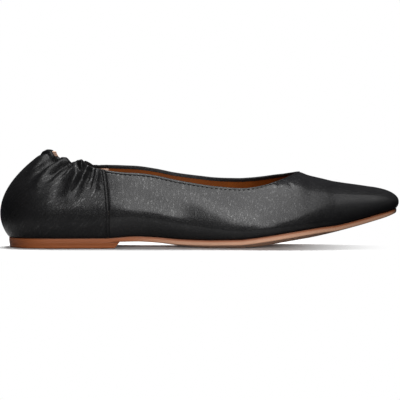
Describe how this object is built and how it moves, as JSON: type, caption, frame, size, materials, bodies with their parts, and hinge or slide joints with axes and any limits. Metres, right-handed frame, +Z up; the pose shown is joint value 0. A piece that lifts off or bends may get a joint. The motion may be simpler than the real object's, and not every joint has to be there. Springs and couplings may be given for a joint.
{
  "type": "square toe ballet flat",
  "caption": "Low flat shoe for the right foot: black leather upper with a square toe, an open throat and a gathered heel collar, on a thin tan sole with a low heel.",
  "frame": {"origin": "on the floor under the middle of the heel block, where the middle line of the heel meets z = 0", "axes": "+X points to the toe along the length of the shoe, +Y to the inner side of the foot, +Z up from the floor"},
  "size_m": [0.2598, 0.078, 0.0632],
  "materials": {
    "black_leather": "smooth semi-gloss with a fine grain",
    "tan_sole_leather": "satin, with a paler cut edge",
    "caramel_leather": "matte lining leather"
  },
  "bodies": {
    "root": {"upper": "black_leather", "outsole": "tan_sole_leather", "heel": "tan_sole_leather", "insole": "caramel_leather"}
  },
  "joints": []
}
